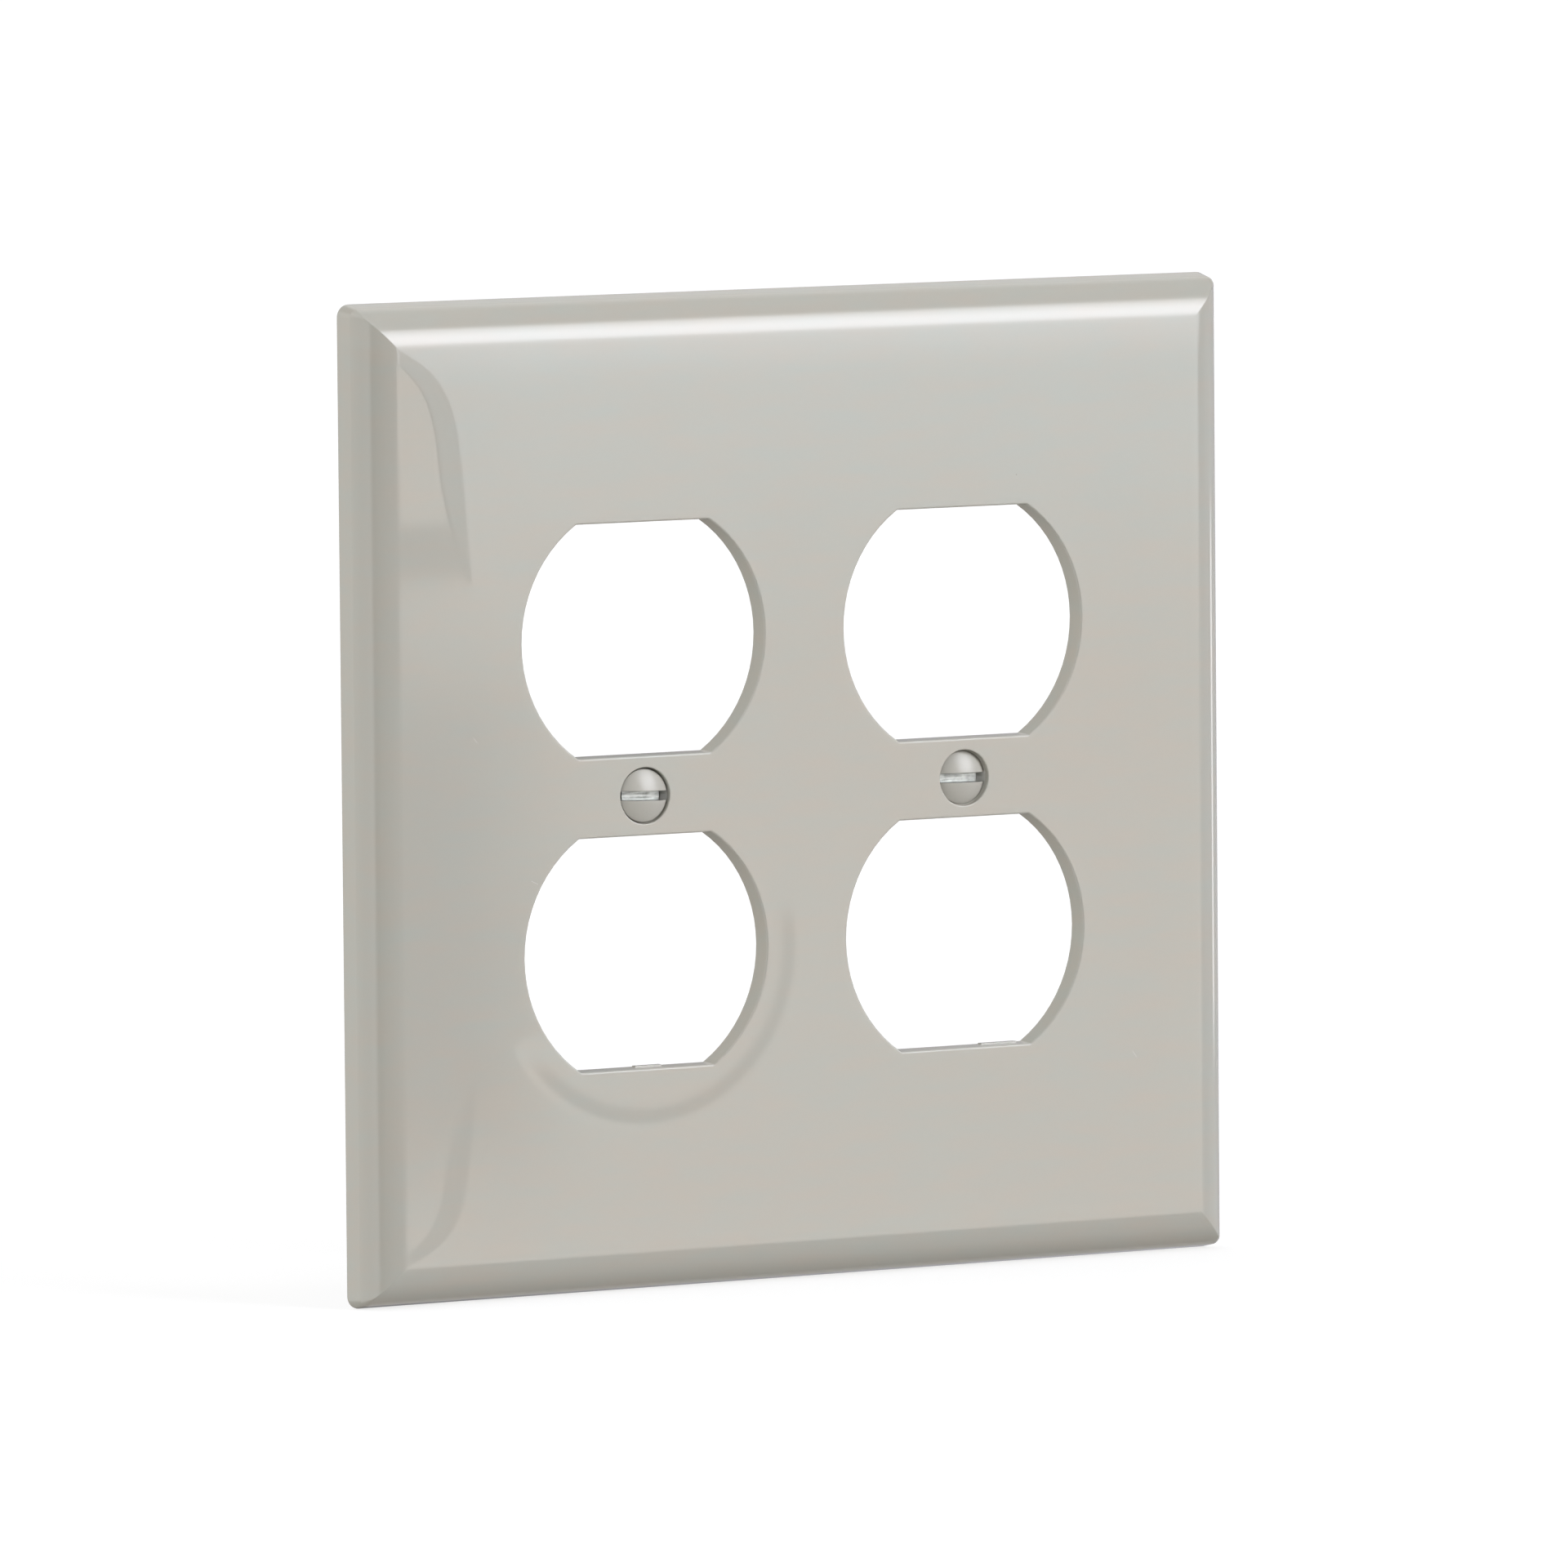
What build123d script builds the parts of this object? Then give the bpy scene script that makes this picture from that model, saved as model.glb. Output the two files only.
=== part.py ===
from build123d import *
import math
import os

# Two-gang wall plate for duplex receptacles, with its two oval-head mounting screws.
# Millimetres. The wall is the plane Y = 0 and the plate's face looks along -Y, with X to the
# right and Z up. The origin is the centre of the plate's rear rim, on the wall.

# Plate
PLATE_WIDTH = 125.4
PLATE_HEIGHT = 123.825
PLATE_DEPTH = 5.7
SHELL_THICKNESS = 2.55
EDGE_RADIUS = 5.6            # the rounding that runs from the face down to the side wall
SIDE_WALL = 2.4              # depth of the drafted side wall behind that rounding
RIM_CORNER_RADIUS = 1.6
RECESS_SIDE_WALL = 0.4
RECESS_CORNER_RADIUS = 1.0

# Openings, an upper and a lower one for each duplex receptacle
GANG_SPACING = 46.0375
OPENING_SPACING = 38.894
OPENING_RADIUS = 17.3
OPENING_HALF_HEIGHT = 14.52
OPENING_CORNER_RADIUS = 0.5
OPENING_DRAFT = 3.0
OPENING_EDGE_RADIUS = 0.2

# Screw holes and the bosses behind them
HEAD_RECESS_RADIUS = 3.525
HEAD_RECESS_DEPTH = 0.7
HEAD_RECESS_EDGE_RADIUS = 0.12
COUNTERSINK_ANGLE = 82.0
CLEARANCE_HOLE_RADIUS = 2.05
BOSS_RADIUS = 4.5
BOSS_HEIGHT = 1.55

# Stiffening ribs and ejector marks on the back
RIB_WIDTH = 1.2
RIB_HEIGHT = 1.3
RIB_FRAME_X = 47.0
RIB_FRAME_Z = 50.0
EJECTOR_RADIUS = 1.6
EJECTOR_DEPTH = 0.15
EJECTOR_INSET = 4.5

# What is left of the moulding gates, on the back edge of the lower openings: gang and X span
GATE_HEIGHT = 0.12
GATE_LENGTH = 0.8
GATES = ((-GANG_SPACING / 2, -0.8, 3.0), (GANG_SPACING / 2, 3.2, 8.4))

# 6-32 oval-head screws
HEAD_RADIUS = 3.3
CROWN_HEIGHT = 0.84
HEAD_LAND = 0.1
HEAD_EDGE_RADIUS = 0.07
SLOT_WIDTH = 1.15
SLOT_DEPTH = 0.82            # from the head's rim plane to the slot's floor
SLOT_EDGE_RADIUS = 0.06
SCREW_LENGTH = 12.7          # from the head's rim plane to the tip
THREAD_RADIUS = 3.505 / 2
THREAD_PITCH = 25.4 / 32
THREAD_DEPTH = 0.6134 * THREAD_PITCH
THREAD_GROOVE = 0.875 * THREAD_PITCH
TIP_CHAMFER = 0.5
NECK_RADIUS = 1.5
NECK_LENGTH = 2 * THREAD_PITCH

# Each screw: its X, how far its head's rim lies below the face, and its slot's clockwise turn
SCREWS = {
    "mounting_screw_left": (-GANG_SPACING / 2, 0.45, 1.8),
    "mounting_screw_right": (GANG_SPACING / 2, 0.75, 0.7),
}

FACE_Y = -PLATE_DEPTH
FLOOR_Y = FACE_Y + SHELL_THICKNESS
CONE_SLOPE = math.tan(math.radians(COUNTERSINK_ANGLE / 2))
GANGS = (-GANG_SPACING / 2, GANG_SPACING / 2)
OPENING_CENTRES = [(x, side * OPENING_SPACING / 2) for x in GANGS for side in (-1, 1)]
EDGE_SEARCH = 0.5            # how far beyond a tool's own radius its edge on the face may lie


def edge_section(half_width, front, radius, side_wall):
    """Half a cross-section in X-Y: flat face, rounding, drafted side wall and the plane Y = 0."""
    centre_x = half_width - radius
    rise = front + radius + side_wall
    reach = math.sqrt(radius**2 - rise**2)
    turn = 90 - math.degrees(math.atan2(rise, reach))
    with BuildSketch() as section:
        with BuildLine():
            face = Line((0, front), (centre_x, front))
            JernArc(face @ 1, (1, 0), radius, turn)
            Polyline((centre_x + reach, -side_wall), (half_width, 0), (0, 0), (0, front))
        make_face()
    return section.sketch


def turned_corner(half_width, front, radius, side_wall, corner):
    """The outermost part of that section, turned about the centre of the rim's corner."""
    window = Pos(half_width - corner / 2, front / 2) * Rectangle(corner, -front)
    profile = edge_section(half_width, front, radius, side_wall) & window
    return revolve(Pos(corner - half_width, 0) * profile, Axis.Y)


def domed_block(width, height, front, radius, side_wall, corner):
    """A block from Y = front to Y = 0: its four roundings meet in mitres, its rim in corners."""
    along_z = edge_section(width / 2, front, radius, side_wall)
    along_x = edge_section(height / 2, front, radius, side_wall)
    along_z = extrude(along_z + mirror(along_z, Plane.YZ), height / 2, both=True)
    along_x = extrude(along_x + mirror(along_x, Plane.YZ), width / 2, both=True)
    block = along_z & Rot(0, 90, 0) * along_x
    turned = turned_corner(width / 2, front, radius, side_wall, corner)
    for side_x in (-1, 1):
        for side_z in (-1, 1):
            pivot = Pos(side_x * (width / 2 - corner), 0, side_z * (height / 2 - corner))
            cell = Pos(side_x * corner / 2, front / 2, side_z * corner / 2)
            cell = cell * Box(corner, -front, corner)
            block = block - pivot * cell + pivot * (turned & cell)
    return block


def opening_tool():
    """A receptacle opening: a circle with a flat top and bottom, narrowing towards the wall."""
    outline = Circle(OPENING_RADIUS) & Rectangle(2 * OPENING_RADIUS, 2 * OPENING_HALF_HEIGHT)
    outline = fillet(outline.vertices(), OPENING_CORNER_RADIUS)
    return extrude(Plane.XZ * outline, -PLATE_DEPTH, taper=OPENING_DRAFT)


def hole_tool():
    """A screw hole about the Y axis, from Y = 0 at the face: recess, countersink, clearance."""
    cone_end = HEAD_RECESS_DEPTH + (HEAD_RECESS_RADIUS - CLEARANCE_HOLE_RADIUS) / CONE_SLOPE
    with BuildSketch() as section:
        with BuildLine():
            Polyline(
                (0, 0),
                (HEAD_RECESS_RADIUS, 0),
                (HEAD_RECESS_RADIUS, HEAD_RECESS_DEPTH),
                (CLEARANCE_HOLE_RADIUS, cone_end),
                (CLEARANCE_HOLE_RADIUS, PLATE_DEPTH),
                (0, PLATE_DEPTH),
                close=True,
            )
        make_face()
    return revolve(section.sketch, Axis.Y)


def on_face(shape, x, z):
    return Pos(x, FACE_Y, z) * shape


def softened(plate, centres, tool_radius, edge_radius):
    """Rounds the edges that tools of that radius, at those centres, have left on the face."""
    reach = tool_radius + EDGE_SEARCH
    edges = []
    for edge in plate.edges().group_by(Axis.Y)[0]:
        middle = edge.center()
        if any(math.hypot(middle.X - x, middle.Z - z) < reach for x, z in centres):
            edges.append(edge)
    return fillet(edges, edge_radius)


def stiffeners():
    """Ribs on the back, standing on the recess floor: a frame round the openings, and a middle."""
    length_x = 2 * RIB_FRAME_X + RIB_WIDTH
    length_z = 2 * RIB_FRAME_Z + RIB_WIDTH
    upright = Box(RIB_WIDTH, RIB_HEIGHT, length_z)
    level = Box(length_x, RIB_HEIGHT, RIB_WIDTH)
    ribs = upright
    for side in (-1, 1):
        ribs += Pos(side * RIB_FRAME_X, 0, 0) * upright
        ribs += Pos(0, 0, side * RIB_FRAME_Z) * level
    return Pos(0, FLOOR_Y + RIB_HEIGHT / 2, 0) * ribs


def ejector_marks():
    """Shallow round marks that the mould's ejector pins leave in the recess floor."""
    mark = Rot(-90, 0, 0) * Cylinder(EJECTOR_RADIUS, 2 * EJECTOR_DEPTH)
    places = [
        (side_x * (RIB_FRAME_X + EJECTOR_INSET), side_z * RIB_FRAME_Z * share)
        for side_x in (-1, 1)
        for side_z in (-1, 1)
        for share in (0.35, 0.95)
    ]
    return [Pos(x, FLOOR_Y, z) * mark for x, z in places]


def gate_stubs():
    """Low trimmed stubs on the back edge of each lower opening's bottom flat."""
    narrowing = math.tan(math.radians(OPENING_DRAFT)) * SHELL_THICKNESS
    flat_z = -OPENING_SPACING / 2 - OPENING_HALF_HEIGHT + narrowing
    stubs = []
    for gang_x, start, end in GATES:
        stub = Box(end - start, GATE_LENGTH, 2 * GATE_HEIGHT)
        stubs.append(Pos(gang_x + (start + end) / 2, FLOOR_Y - GATE_LENGTH / 2, flat_z) * stub)
    return stubs


def wall_plate():
    plate = domed_block(
        PLATE_WIDTH, PLATE_HEIGHT, FACE_Y, EDGE_RADIUS, SIDE_WALL, RIM_CORNER_RADIUS
    )
    plate -= domed_block(
        PLATE_WIDTH - 2 * SHELL_THICKNESS,
        PLATE_HEIGHT - 2 * SHELL_THICKNESS,
        FLOOR_Y,
        EDGE_RADIUS - SHELL_THICKNESS,
        RECESS_SIDE_WALL,
        RECESS_CORNER_RADIUS,
    )
    boss = Rot(-90, 0, 0) * Cylinder(BOSS_RADIUS, BOSS_HEIGHT)
    plate += [Pos(x, FLOOR_Y + BOSS_HEIGHT / 2, 0) * boss for x in GANGS]
    plate += stiffeners()
    plate -= ejector_marks()
    plate -= [on_face(opening_tool(), x, z) for x, z in OPENING_CENTRES]
    plate = softened(plate, OPENING_CENTRES, OPENING_RADIUS, OPENING_EDGE_RADIUS)
    plate -= [on_face(hole_tool(), x, 0) for x in GANGS]
    holes = [(x, 0) for x in GANGS]
    plate = softened(plate, holes, HEAD_RECESS_RADIUS, HEAD_RECESS_EDGE_RADIUS)
    return plate + gate_stubs()


def screw_blank():
    """The screw before its slot and thread, about Y, with its head's rim plane at Y = 0."""
    crown_radius = (HEAD_RADIUS**2 + CROWN_HEIGHT**2) / (2 * CROWN_HEIGHT)
    cone_end = HEAD_LAND + (HEAD_RADIUS - NECK_RADIUS) / CONE_SLOPE
    thread_start = cone_end + NECK_LENGTH
    with BuildSketch() as section:
        with BuildLine():
            crown = RadiusArc((0, -CROWN_HEIGHT), (HEAD_RADIUS, 0), -crown_radius)
            Polyline(
                crown @ 1,
                (HEAD_RADIUS, HEAD_LAND),
                (NECK_RADIUS, cone_end),
                (NECK_RADIUS, thread_start),
                (THREAD_RADIUS, thread_start + THREAD_RADIUS - NECK_RADIUS),
                (THREAD_RADIUS, SCREW_LENGTH - TIP_CHAMFER),
                (THREAD_RADIUS - TIP_CHAMFER, SCREW_LENGTH),
                (0, SCREW_LENGTH),
                crown @ 0,
            )
        make_face()
        rim = section.vertices().group_by(Axis.X)[-1].sort_by(Axis.Y)[0]
        fillet(rim, HEAD_EDGE_RADIUS)
    blank = revolve(section.sketch, Axis.Y)
    return blank, thread_start


def thread_groove(start):
    """The V cut between the thread's crests, wound from the neck to past the tip."""
    path = Helix(
        THREAD_PITCH,
        SCREW_LENGTH - start + THREAD_PITCH,
        THREAD_RADIUS,
        center=(0, start, 0),
        direction=(0, 1, 0),
    )
    outward = Vector((path @ 0).X, 0, (path @ 0).Z)
    section = Plane(path @ 0, x_dir=outward, z_dir=path % 0)
    overlap = THREAD_DEPTH / 5
    half_width = THREAD_GROOVE / 2 * (1 + overlap / THREAD_DEPTH)
    vee = Polygon((overlap, -half_width), (overlap, half_width), (-THREAD_DEPTH, 0), align=None)
    return sweep(section * vee, path=path, is_frenet=True)


def slot_rim(edge):
    """Whether an edge is one of the two long ones where the slot opens through the crown."""
    middle = edge @ 0.5
    return middle.Y < -CROWN_HEIGHT / 2 and abs(abs(middle.Z) - SLOT_WIDTH / 2) < 0.001


def mounting_screw():
    """An oval-head screw about Y, pointing along +Y, with its slot along X."""
    blank, thread_start = screw_blank()
    slot_height = CROWN_HEIGHT + SLOT_DEPTH
    slot = Pos(0, SLOT_DEPTH - slot_height, 0) * Box(2 * HEAD_RADIUS, 2 * slot_height, SLOT_WIDTH)
    head = blank - slot
    rims = [edge for edge in head.edges() if slot_rim(edge)]
    head = fillet(rims, SLOT_EDGE_RADIUS)
    return head - thread_groove(thread_start)


os.makedirs("parts", exist_ok=True)
export_step(wall_plate(), "parts/wall_plate.step")
for name, (x, head_depth, slot_turn) in SCREWS.items():
    placed = Pos(x, FACE_Y + head_depth, 0) * Rot(0, slot_turn, 0) * mounting_screw()
    export_step(placed, f"parts/{name}.step")
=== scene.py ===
import bpy
import math
from mathutils import Matrix, Vector


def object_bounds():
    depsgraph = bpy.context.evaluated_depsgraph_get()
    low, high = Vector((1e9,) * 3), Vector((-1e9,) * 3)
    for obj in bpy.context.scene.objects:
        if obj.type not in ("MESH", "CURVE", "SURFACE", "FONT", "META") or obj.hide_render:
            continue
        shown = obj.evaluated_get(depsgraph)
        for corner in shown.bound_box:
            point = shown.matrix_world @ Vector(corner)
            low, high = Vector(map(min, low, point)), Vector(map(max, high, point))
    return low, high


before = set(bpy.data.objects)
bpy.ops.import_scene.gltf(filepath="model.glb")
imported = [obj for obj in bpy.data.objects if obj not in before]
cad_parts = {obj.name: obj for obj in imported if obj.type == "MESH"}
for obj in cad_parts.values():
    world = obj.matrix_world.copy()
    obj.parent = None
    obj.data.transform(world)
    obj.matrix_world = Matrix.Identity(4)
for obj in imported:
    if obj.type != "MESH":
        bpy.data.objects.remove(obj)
cad_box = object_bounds()

MM = 0.001

# The camera stands far away with a long lens, at the front left. Angles are in degrees, the lens
# and the sensor in millimetres, and the rest in metres
CAMERA_AIM = Vector((-3.13, -5.7, 0.49)) * MM
CAMERA_AZIMUTH = 30.313
CAMERA_ELEVATION = 4.681
CAMERA_ROLL = -0.486
CAMERA_DISTANCE = 2.016
CAMERA_LENS = 372.2
CAMERA_SENSOR = 36.0
CAMERA_CLIP = (0.05, 100.0)

# The studio's soft lights. Azimuth turns right from the front, -Y, and all angles are in degrees:
# left and right edge, softness of both, bottom and its softness, top and its softness, radiance
LIGHTS = (
    (20, 54, 6, 9.0, 12, 33, 22, (4.1, 4.1, 4.45)),        # main softbox
    (20, 52, 6, -2.3, 1.7, 42, 11, (4.1, 4.2, 4.4)),       # its diffuser's spill, down to the table
    (20, 46, 6, -3.7, 1.2, -2.3, 1.7, (2.45, 2.7, 2.8)),   # far edge of the table
    (20, 46, 6, -15, 6, -3.7, 1.2, (1.9, 1.7, 1.55)),      # table top
    (-105, -48, 10, -50, 30, 60, 30, (1.33, 1.33, 1.33)),  # white card, left
    (-138, -105, 10, -50, 30, 60, 30, (0.9, 0.9, 0.92)),   # its shaded end
    (46, 150, 6, -45, 20, 15, 20, (0.45, 0.45, 0.48)),     # pale wall, right
    (92, 99, 3, -5.55, 0.3, -3.75, 0.3, (2.9, 2.9, 3.0)),  # narrow strip, right
    (125, 165, 10, 14, 10, 60, 20, (0.6, 0.6, 0.6)),       # wall behind
)
# Dark things in front of the table, in the same way, with how much light each one stops
SHADES = (
    (5, 29.4, 0.25, -6.05, 0.25, -4.32, 0.25, 0.92),
    (26.3, 28.6, 0.2, -9.0, 2.0, 1.0, 3.0, 0.7),
    (28.5, 28.98, 0.2, -4.4, 0.3, 1.0, 3.0, 0.4),
    (10, 26.3, 0.2, -9.0, 2.0, 1.0, 3.0, 0.3),
)
# The room beyond them, whose sky and ground each come in between two elevations, and the plain
# backdrop that the camera sees in its place
HORIZON = (0.06, 0.06, 0.06)
SKY = (0.42, 0.42, 0.42)
SKY_SPAN = (10, 50)
GROUND = (0.34, 0.32, 0.295)
GROUND_SPAN = (-10, -50)
BACKDROP = (1, 1, 1, 1)

# The light on the back of the plate, in metres and watts
REAR_FILL_PLACE = (-0.9, 2.3, 1.4)
REAR_FILL_SIZE = (2.0, 1.6)
REAR_FILL_POWER = 20.0

FLOOR_SIZE = 60
FLOOR_GLOW = 0.75
FLOOR_COLOUR = (0.3, 0.3, 0.3, 1)

# The plate and the screws in the CAD model, in millimetres and degrees
EDGE_RADIUS = 5.6
EDGE_AXIS_Y = -0.1
FACE_Y = EDGE_AXIS_Y - EDGE_RADIUS
FACE_HALF_WIDTH = cad_box[1].x / MM - EDGE_RADIUS
FACE_HALF_HEIGHT = cad_box[1].z / MM - EDGE_RADIUS
GANG_SPACING = 46.0375
OPENING_SPACING = 38.894
SCREW_X = GANG_SPACING / 2
SCREW_RIMS_Y = (-5.25, -4.95)
SLOT_TURNS = (1.8, 0.7)
SLOT_HALF_WIDTH = 0.6

# A facet's corner takes the true normal of its rounding where it is near enough to the cylinder
# and not too far inside the flat face, in millimetres, and where the facet's own normal agrees
ROUNDING_REACH = 0.02
ROUNDING_SLACK = 0.001
ROUNDING_COSINE = 0.99

# The face's slight warp: places are in millimetres, and a lean is what it adds to a unit normal.
# Two folds run along the left side, one from above the middle to the upper corner and one from
# below it to the lower corner. A fold's run is 0 at its beginning and 1 at its end: over spans of
# the run, the fold starts and then opens to its width, and the X of its inner border follows it
FOLD_BEGIN_ABOVE = 27.0
FOLD_BEGIN_BELOW = 34.0
FOLD_END = 56.5
FOLD_START = (0.0, 0.03)
FOLD_INNER_X = {"run": -2.6, "run_end": -7.8, "plain": -47.4}
FOLD_INNER_POWER = 8.0
FOLD_INNER_SOFT = 0.4
FOLD_OUTER_SOFT = 0.5
FOLD_WIDTH = 3.0
FOLD_OPENING = (-0.12, 0.5)
FOLD_LEAN_X = -0.0172
# Left of the upper fold, the face leans more and more over this span of the run
PAST_FOLD = (-0.1, 0.9)
# The ring round the lower left opening rises and falls between radii, and shows only at the side
# where the weighted sum of the distances from its centre along X and Z is positive
RING_CENTRE = (-GANG_SPACING / 2, -OPENING_SPACING / 2)
RING_RISE = (17.0, 20.2)
RING_FALL = (22.6, 20.9)
RING_SIDE = (0.5, -1.0)
RING_SIDE_SPAN = (0.0, 8.0)
# Near its top edge, the face leans more and more between these heights
TOP_ROLL = (FACE_HALF_HEIGHT - 7.0, FACE_HALF_HEIGHT + 1.0)
LEANS_Z = {"near_top": 0.011, "ring": -0.096, "past_fold": -0.075}

# Each noise has its features per millimetre, its detail, and how many times as fine it is along
# X, Y and Z. The tables of weights say how much of each layer goes into a tint, which runs from
# the first colour to the second, into the roughness, and into the height in millimetres
PLASTIC_NOISES = {
    "mottle": (0.28, 5.0, (0.45, 1, 1.8)),
    "cloud": (0.035, 3.0),
    "scuffs": (0.09, 5.0),
    "lines": (1.0, 3.0, (0.06, 1, 4.0)),
    "peel": (0.8,),
    "swell": (0.05, 1.0),
}
PLASTIC_COLOURS = ((0.440, 0.442, 0.396, 1), (0.465, 0.434, 0.377, 1))
PLASTIC_TINT = {"mottle": 2.2, "cloud": 1.0, "plain": 0.5}
PLASTIC_ROUGHNESS = {"scuffs": 0.03, "lines": 0.03, "lint": 0.2, "specks": 0.3, "plain": 0.045}
PLASTIC_HEIGHT = {"peel": 0.0005, "swell": 0.012, "lines": 0.0002, "specks": 0.01, "lint": 0.02}
PLASTIC_IOR = 1.585
EDGE_SOFTNESS = 0.12
EDGE_SAMPLES = 6

# Short hairs on the face, each from a start to an end, as X and Z in millimetres
HAIRS = (
    ((-47.3, 8.3), (-46.8, 7.7)),
    ((-39.3, -9.8), (-38.4, -10.2)),
    ((47.5, -35.8), (48.0, -36.5)),
)
HAIR_HALF_WIDTH = 0.045
HAIR_COVER = 0.7
HAIR_COLOUR = (0.75, 0.75, 0.73, 1)

# Specks lie at the points of cells, of which there are this many to a millimetre. A speck fades
# out between two distances in cells, and only a cell whose random number is above the rarity has
# one
SPECK_CELLS = 0.22
SPECK_FADE = (0.024, 0.010)
SPECK_RARITY = 0.72
SPECK_COVER = 0.55
SPECK_COLOUR = (0.16, 0.14, 0.12, 1)

SCREW_NOISES = {
    "ragged": (3.0, 4.0),
    "patches": (0.8, 3.0),
    "marks": (1.0, 3.0, (0.5, 6, 6)),
    "blotch": (1.2, 3.0),
    "peel": (1.6,),
}
PAINT_COLOURS = ((0.450, 0.440, 0.392, 1), (0.466, 0.447, 0.394, 1))
PAINT_TINT = {"patches": 1.0, "plain": 0.5}
PAINT_ROUGHNESS = {"ragged": 0.08, "plain": 0.29}
ZINC_COLOURS = ((0.66, 0.67, 0.64, 1), (0.20, 0.207, 0.19, 1))
# The in_slot weight darkens the bare zinc inside the slot: painted shade for the narrow recess
ZINC_TINT = {"marks": 0.9, "blotch": 0.9, "in_slot": 0.4, "plain": 0.3}
ZINC_ROUGHNESS = {"marks": 0.25, "plain": 0.42}
SCREW_HEIGHT = {"peel": 0.003, "bare": -0.012, "scored": 0.012}
# The paint ends at the slot's edge and at a depth below the head's rim, each one a little ragged
SLOT_FADE = (SLOT_HALF_WIDTH + 0.02, SLOT_HALF_WIDTH - 0.02)
SLOT_RAGGED = 0.05
RIM_FADE = (0.35, 0.55)
RIM_RAGGED = 0.3


def look_along(azimuth, elevation):
    """The direction of a look that turns right from +Y by azimuth and down by elevation."""
    a, e = math.radians(azimuth), math.radians(elevation)
    return Vector((math.sin(a) * math.cos(e), math.cos(a) * math.cos(e), -math.sin(e)))


def make_camera():
    forward = look_along(CAMERA_AZIMUTH, CAMERA_ELEVATION)
    right = forward.cross(Vector((0, 0, 1))).normalized()
    up = right.cross(forward)
    roll = math.radians(CAMERA_ROLL)
    image_right = right * math.cos(roll) + up * math.sin(roll)
    image_up = up * math.cos(roll) - right * math.sin(roll)
    data = bpy.data.cameras.new("camera")
    data.lens = CAMERA_LENS
    data.sensor_width = CAMERA_SENSOR
    data.clip_start, data.clip_end = CAMERA_CLIP
    camera = bpy.data.objects.new("camera", data)
    turn = Matrix((image_right, image_up, -forward)).transposed().to_4x4()
    camera.matrix_world = Matrix.Translation(CAMERA_AIM - forward * CAMERA_DISTANCE) @ turn
    bpy.context.scene.collection.objects.link(camera)
    bpy.context.scene.camera = camera


def node(tree, kind, inputs=(), **settings):
    """Adds a node. Each input is (socket, value), the value a constant or another's output."""
    made = tree.nodes.new(kind if "Node" in kind else "ShaderNode" + kind)
    for name, value in settings.items():
        setattr(made, name, value)
    for socket, value in inputs:
        if isinstance(value, bpy.types.NodeSocket):
            tree.links.new(value, made.inputs[socket])
        else:
            made.inputs[socket].default_value = value
    return made


def maths(tree, operation, *values):
    return node(tree, "Math", enumerate(values), operation=operation).outputs[0]


def minus(tree, value, amount):
    return maths(tree, "SUBTRACT", value, amount)


def product(tree, value, *others):
    for other in others:
        value = maths(tree, "MULTIPLY", value, other)
    return value


def weighted(tree, layers, weights):
    """The sum of the layers that weights names, each times its weight."""
    total = 0.0
    for name, weight in weights.items():
        total = maths(tree, "MULTIPLY_ADD", layers[name], weight, total)
    return total


def ramp(tree, value, start, end, low=0.0, high=1.0):
    """A smooth step from low at start to high at end."""
    span = [("From Min", start), ("From Max", end), ("To Min", low), ("To Max", high)]
    inputs = [("Value", value), *span]
    return node(tree, "MapRange", inputs, interpolation_type="SMOOTHSTEP").outputs[0]


def vectors(tree, operation, *values):
    made = node(tree, "VectorMath", enumerate(values), operation=operation)
    scalar = operation in ("DOT_PRODUCT", "LENGTH", "DISTANCE")
    return made.outputs["Value" if scalar else "Vector"]


def scaled(tree, vector, amount):
    inputs = [(0, vector), ("Scale", amount)]
    return node(tree, "VectorMath", inputs, operation="SCALE").outputs[0]


def split(tree, vector):
    return node(tree, "SeparateXYZ", [(0, vector)]).outputs


def joined(tree, axes):
    return node(tree, "CombineXYZ", axes.items()).outputs[0]


def in_millimetres(tree, metres):
    return vectors(tree, "MULTIPLY", metres, (1 / MM,) * 3)


def mixed(tree, amount, first, second):
    """A colour between two, each one a constant or an output."""
    made = node(tree, "Mix", data_type="RGBA")
    for socket, value in (("Factor_Float", amount), ("A_Color", first), ("B_Color", second)):
        target = next(s for s in made.inputs if s.identifier == socket)
        if isinstance(value, bpy.types.NodeSocket):
            tree.links.new(value, target)
        else:
            target.default_value = value
    return next(s for s in made.outputs if s.identifier == "Result_Color")


def window(tree, value, start, start_soft, end, end_soft):
    """One between start and end, and zero outside, with a smooth step centred on each."""
    opening = ramp(tree, value, start - start_soft / 2, start + start_soft / 2)
    closing = ramp(tree, value, end + end_soft / 2, end - end_soft / 2)
    return product(tree, opening, closing)


def patch(tree, azimuth, elevation, left, right, side_soft, low, low_soft, high, high_soft):
    """One inside a soft-edged patch of the room, and zero outside it."""
    across = window(tree, azimuth, left, side_soft, right, side_soft)
    return product(tree, across, window(tree, elevation, low, low_soft, high, high_soft))


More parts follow.
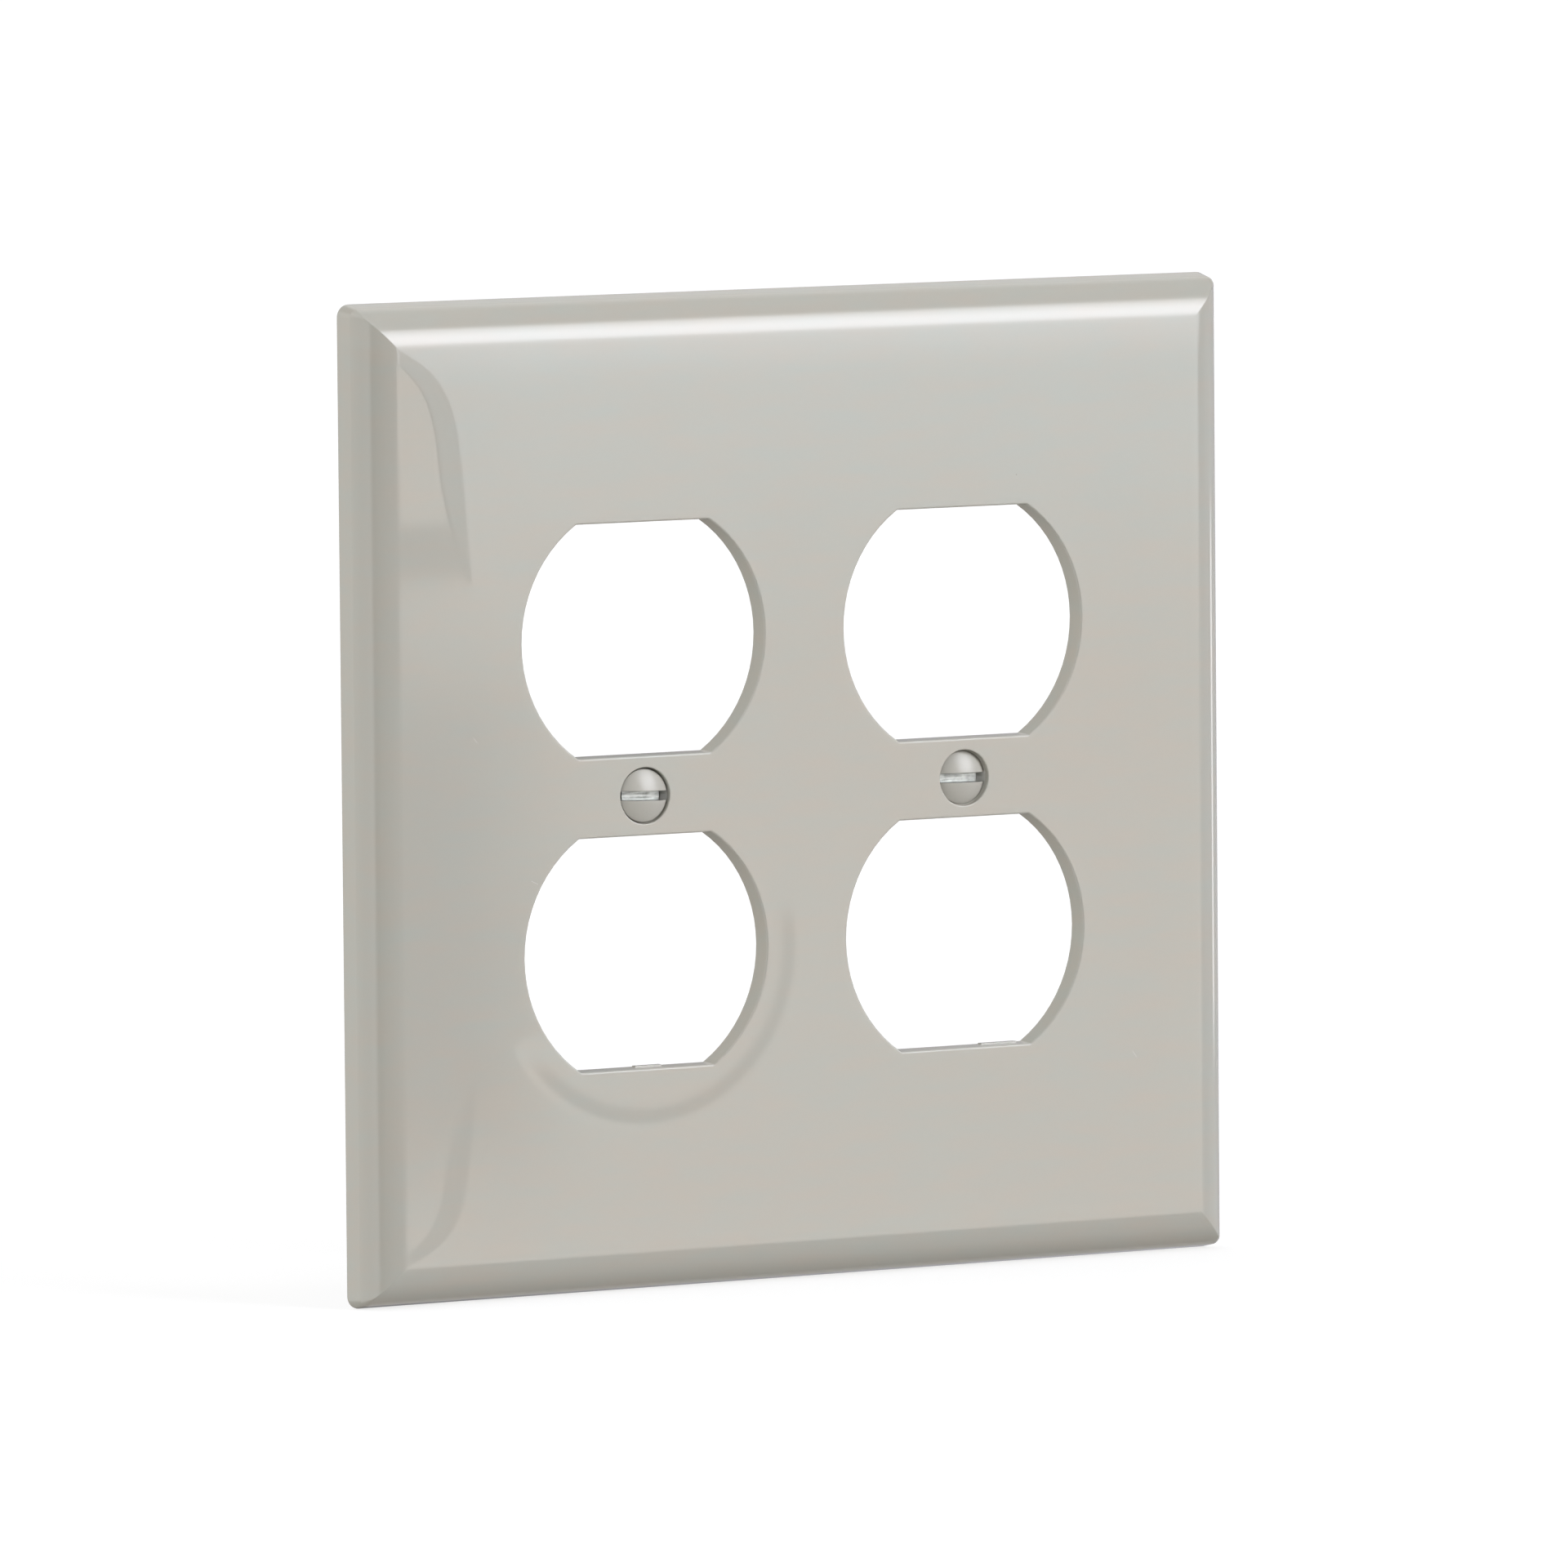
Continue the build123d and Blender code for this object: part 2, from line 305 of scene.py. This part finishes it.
def make_world():
    """A dim room with soft light cards, each placed by azimuth and elevation."""
    world = bpy.data.worlds.new("studio")
    world.use_nodes = True
    tree = world.node_tree
    tree.nodes.clear()
    x, y, z = split(tree, node(tree, "TexCoord").outputs["Generated"])
    azimuth = maths(tree, "DEGREES", maths(tree, "ARCTAN2", x, product(tree, y, -1.0)))
    elevation = maths(tree, "DEGREES", maths(tree, "ARCSINE", z))

    clear = 1.0
    for *edges, strength in SHADES:
        stopped = product(tree, patch(tree, azimuth, elevation, *edges), strength)
        clear = product(tree, clear, minus(tree, 1.0, stopped))
    glows = [(SKY, ramp(tree, elevation, *SKY_SPAN)), (GROUND, ramp(tree, elevation, *GROUND_SPAN))]
    for *edges, colour in LIGHTS:
        glows.append((colour, product(tree, patch(tree, azimuth, elevation, *edges), clear)))
    total = HORIZON
    for colour, amount in glows:
        total = vectors(tree, "ADD", total, scaled(tree, colour, amount))
    seen = node(tree, "LightPath").outputs["Is Camera Ray"]
    background = node(tree, "Background", [("Color", mixed(tree, seen, total, BACKDROP))])
    node(tree, "OutputWorld", [("Surface", background.outputs[0])])
    bpy.context.scene.world = world


def make_rear_fill():
    """A soft light for the back of the plate, which doesn't show in the gloss of its front."""
    data = bpy.data.lights.new("rear_fill", "AREA")
    data.shape = "RECTANGLE"
    data.size, data.size_y = REAR_FILL_SIZE
    data.energy = REAR_FILL_POWER
    light = bpy.data.objects.new("rear_fill", data)
    light.location = Vector(REAR_FILL_PLACE)
    light.rotation_mode = "QUATERNION"
    light.rotation_quaternion = light.location.to_track_quat("Z", "Y")
    light.visible_glossy = False
    bpy.context.scene.collection.objects.link(light)


def make_floor():
    low, _ = cad_box
    bpy.ops.mesh.primitive_plane_add(size=FLOOR_SIZE, location=(0, 0, low.z))
    floor = bpy.context.object
    floor.name = "floor"
    floor.visible_diffuse = False
    floor.visible_glossy = False
    material = bpy.data.materials.new("pale_floor")
    material.use_nodes = True
    tree = material.node_tree
    tree.nodes.clear()
    glow = node(tree, "Emission", [("Strength", FLOOR_GLOW)])
    matte = node(tree, "BsdfDiffuse", [("Color", FLOOR_COLOUR)])
    both = node(tree, "AddShader", [(0, glow.outputs[0]), (1, matte.outputs[0])])
    node(tree, "OutputMaterial", [("Surface", both.outputs[0])])
    floor.data.materials.append(material)


def true_edge_normals(plate):
    """Gives the plate's long roundings, whose facets are coarse, the normals of true cylinders."""
    tree = bpy.data.node_groups.new("true_edge_normals", "GeometryNodeTree")
    for in_out in ("INPUT", "OUTPUT"):
        tree.interface.new_socket("Geometry", in_out=in_out, socket_type="NodeSocketGeometry")
    source = node(tree, "NodeGroupInput")
    position = node(tree, "GeometryNodeInputPosition").outputs[0]
    x, y, z = split(tree, in_millimetres(tree, position))
    shaded = node(tree, "GeometryNodeInputNormal")
    on_face = node(tree, "GeometryNodeFieldOnDomain", domain="FACE", data_type="FLOAT_VECTOR")
    tree.links.new(shaded.outputs["True Normal"], on_face.inputs[0])
    depth = minus(tree, y, EDGE_AXIS_Y)
    normal = shaded.outputs["Normal"]
    closest = ROUNDING_COSINE
    for value, half, axis in ((x, FACE_HALF_WIDTH, "X"), (z, FACE_HALF_HEIGHT, "Z")):
        beyond = minus(tree, maths(tree, "ABSOLUTE", value), half)
        outward = product(tree, beyond, maths(tree, "SIGN", value))
        spoke = joined(tree, {axis: outward, "Y": depth})
        miss = maths(tree, "ABSOLUTE", minus(tree, vectors(tree, "LENGTH", spoke), EDGE_RADIUS))
        direction = vectors(tree, "NORMALIZE", spoke)
        along = vectors(tree, "DOT_PRODUCT", direction, on_face.outputs[0])
        near = maths(tree, "LESS_THAN", miss, ROUNDING_REACH)
        outside = maths(tree, "GREATER_THAN", beyond, -ROUNDING_SLACK)
        closer = maths(tree, "GREATER_THAN", along, closest)
        chosen = product(tree, near, outside, closer)
        closest = maths(tree, "MAXIMUM", closest, product(tree, along, chosen))
        pick = node(tree, "GeometryNodeSwitch", input_type="VECTOR")
        for socket, value in (("Switch", chosen), ("False", normal), ("True", direction)):
            tree.links.new(value, pick.inputs[socket])
        normal = pick.outputs[0]
    shade = node(tree, "GeometryNodeSetMeshNormal", mode="FREE", domain="CORNER")
    tree.links.new(source.outputs[0], shade.inputs["Mesh"])
    tree.links.new(normal, shade.inputs["Custom Normal"])
    node(tree, "NodeGroupOutput", [(0, shade.outputs[0])])
    plate.modifiers.new("true_edge_normals", "NODES").node_group = tree


def face_leans(tree, x, z):
    """How far the moulding's slight warp tips the face: folds at the left, a ring, the top edge."""
    is_low = maths(tree, "LESS_THAN", z, 0.0)
    later = FOLD_BEGIN_BELOW - FOLD_BEGIN_ABOVE
    begin = maths(tree, "MULTIPLY_ADD", is_low, later, FOLD_BEGIN_ABOVE)
    run = minus(tree, maths(tree, "ABSOLUTE", z), begin)
    run = maths(tree, "DIVIDE", run, minus(tree, FOLD_END, begin))
    runs = {"run": run, "run_end": maths(tree, "POWER", run, FOLD_INNER_POWER), "plain": 1.0}
    inner = weighted(tree, runs, FOLD_INNER_X)
    outer = minus(tree, inner, ramp(tree, run, *FOLD_OPENING, 0.0, FOLD_WIDTH))
    right_of = ramp(tree, minus(tree, x, outer), -FOLD_OUTER_SOFT, FOLD_OUTER_SOFT)
    left_of = ramp(tree, minus(tree, x, inner), FOLD_INNER_SOFT, -FOLD_INNER_SOFT)
    fold = product(tree, right_of, left_of, ramp(tree, run, *FOLD_START))
    upper_left = product(tree, minus(tree, 1.0, right_of), minus(tree, 1.0, is_low))
    past_fold = product(tree, upper_left, ramp(tree, run, *PAST_FOLD))

    centre_x, centre_z = RING_CENTRE
    weight_x, weight_z = RING_SIDE
    across, up = minus(tree, x, centre_x), minus(tree, z, centre_z)
    radius = vectors(tree, "LENGTH", joined(tree, {"X": across, "Z": up}))
    side = maths(tree, "MULTIPLY_ADD", across, weight_x, product(tree, up, weight_z))
    rise, fall = ramp(tree, radius, *RING_RISE), ramp(tree, radius, *RING_FALL)
    ring = product(tree, rise, fall, ramp(tree, side, *RING_SIDE_SPAN))

    parts = {"near_top": ramp(tree, z, *TOP_ROLL), "ring": ring, "past_fold": past_fold}
    sideways = product(tree, fold, FOLD_LEAN_X)
    return joined(tree, {"X": sideways, "Z": weighted(tree, parts, LEANS_Z)})


def noise(tree, coords, scale, detail=2.0, fineness=None):
    """Smooth noise about zero, between about -0.5 and 0.5, with scale in features per unit."""
    if fineness:
        coords = vectors(tree, "MULTIPLY", coords, fineness)
    made = node(tree, "TexNoise", [("Vector", coords), ("Scale", scale), ("Detail", detail)])
    return minus(tree, made.outputs["Fac"], 0.5)


def make_layers(tree, coords, noises):
    """The noises by name, and plain, which is one everywhere."""
    return {"plain": 1.0} | {name: noise(tree, coords, *shape) for name, shape in noises.items()}


def hair(tree, coords, start, end, width):
    """One on a thin straight line across the face from start to end, and zero a width away."""
    start, end = (Vector((x, FACE_Y, z)) for x, z in (start, end))
    line = end - start
    offset = vectors(tree, "SUBTRACT", coords, start)
    share = vectors(tree, "DOT_PRODUCT", offset, line / line.length_squared)
    share = maths(tree, "MINIMUM", maths(tree, "MAXIMUM", share, 0.0), 1.0)
    return ramp(tree, vectors(tree, "DISTANCE", offset, scaled(tree, line, share)), width, 0.0)


def new_material(name):
    """A new material, with its tree, its shader, and the place on the object in millimetres."""
    material = bpy.data.materials.new(name)
    material.use_nodes = True
    tree = material.node_tree
    coords = in_millimetres(tree, node(tree, "TexCoord").outputs["Object"])
    return material, tree, tree.nodes["Principled BSDF"], coords


def bumped(tree, height, *others):
    """The normal that a height in millimetres gives. Others are the bump's other inputs."""
    return node(tree, "Bump", [("Height", height), ("Distance", MM), *others]).outputs[0]


def feed(tree, shader, looks):
    for socket, value in looks.items():
        tree.links.new(value, shader.inputs[socket])


def plate_material():
    """Glossy moulded plastic: a slightly warped surface, faint mottling, specks, short hairs."""
    material, tree, shader, coords = new_material("moulded_plastic")
    layers = make_layers(tree, coords, PLASTIC_NOISES)
    colour = mixed(tree, weighted(tree, layers, PLASTIC_TINT), *PLASTIC_COLOURS)
    lint = 0.0
    for start, end in HAIRS:
        lint = maths(tree, "MAXIMUM", lint, hair(tree, coords, start, end, HAIR_HALF_WIDTH))
    colour = mixed(tree, product(tree, lint, HAIR_COVER), colour, HAIR_COLOUR)
    cells = node(tree, "TexVoronoi", [("Vector", coords), ("Scale", SPECK_CELLS)])
    draw, _, _ = split(tree, cells.outputs["Color"])
    rare = maths(tree, "GREATER_THAN", draw, SPECK_RARITY)
    specks = product(tree, ramp(tree, cells.outputs["Distance"], *SPECK_FADE), rare)
    colour = mixed(tree, product(tree, specks, SPECK_COVER), colour, SPECK_COLOUR)
    layers |= {"lint": lint, "specks": specks}

    x, _, z = split(tree, coords)
    bevel = node(tree, "Bevel", [("Radius", EDGE_SOFTNESS * MM)], samples=EDGE_SAMPLES)
    tipped = vectors(tree, "ADD", bevel.outputs[0], face_leans(tree, x, z))
    tipped = vectors(tree, "NORMALIZE", tipped)
    height = weighted(tree, layers, PLASTIC_HEIGHT)
    shader.inputs["IOR"].default_value = PLASTIC_IOR
    feed(tree, shader, {
        "Base Color": colour,
        "Roughness": weighted(tree, layers, PLASTIC_ROUGHNESS),
        "Normal": bumped(tree, height, ("Normal", tipped)),
    })
    return material


def screw_material():
    """Paint over zinc-plated steel, bare in the slot and below the head, with the slot's zinc
    darkened as painted shade.
    """
    material, tree, shader, coords = new_material("painted_screw")
    x, y, z = split(tree, coords)
    is_right = maths(tree, "GREATER_THAN", x, 0.0)

    def by_side(left, right):
        return maths(tree, "MULTIPLY_ADD", is_right, right - left, left)

    depth = minus(tree, y, by_side(*SCREW_RIMS_Y))
    across = minus(tree, maths(tree, "ABSOLUTE", x), SCREW_X)
    across = product(tree, across, maths(tree, "SIGN", x))
    slope = by_side(*(math.tan(math.radians(turn)) for turn in SLOT_TURNS))
    level = maths(tree, "ABSOLUTE", maths(tree, "MULTIPLY_ADD", across, slope, z))
    layers = make_layers(tree, coords, SCREW_NOISES)
    ragged = layers["ragged"]
    in_slot = ramp(tree, maths(tree, "MULTIPLY_ADD", ragged, SLOT_RAGGED, level), *SLOT_FADE)
    below = ramp(tree, maths(tree, "MULTIPLY_ADD", ragged, RIM_RAGGED, depth), *RIM_FADE)
    bare = maths(tree, "MAXIMUM", in_slot, below)
    scored = product(tree, layers["marks"], bare)
    layers |= {"in_slot": in_slot, "bare": bare, "scored": scored}

    paint = mixed(tree, weighted(tree, layers, PAINT_TINT), *PAINT_COLOURS)
    # Inside the slot the zinc runs darker, a painted shade for the recess, besides its random
    # blotches and marks
    zinc = mixed(tree, weighted(tree, layers, ZINC_TINT), *ZINC_COLOURS)
    paint_rough = weighted(tree, layers, PAINT_ROUGHNESS)
    gap = minus(tree, weighted(tree, layers, ZINC_ROUGHNESS), paint_rough)
    feed(tree, shader, {
        "Base Color": mixed(tree, bare, paint, zinc),
        "Metallic": bare,
        "Roughness": maths(tree, "MULTIPLY_ADD", bare, gap, paint_rough),
        "Normal": bumped(tree, weighted(tree, layers, SCREW_HEIGHT)),
    })
    return material


make_camera()
make_world()
make_rear_fill()
make_floor()
bpy.context.scene.view_settings.view_transform = "Standard"
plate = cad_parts["wall_plate"]
plate.material_slots[0].material = plate_material()
true_edge_normals(plate)
painted = screw_material()
for side in ("left", "right"):
    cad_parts[f"mounting_screw_{side}"].material_slots[0].material = painted
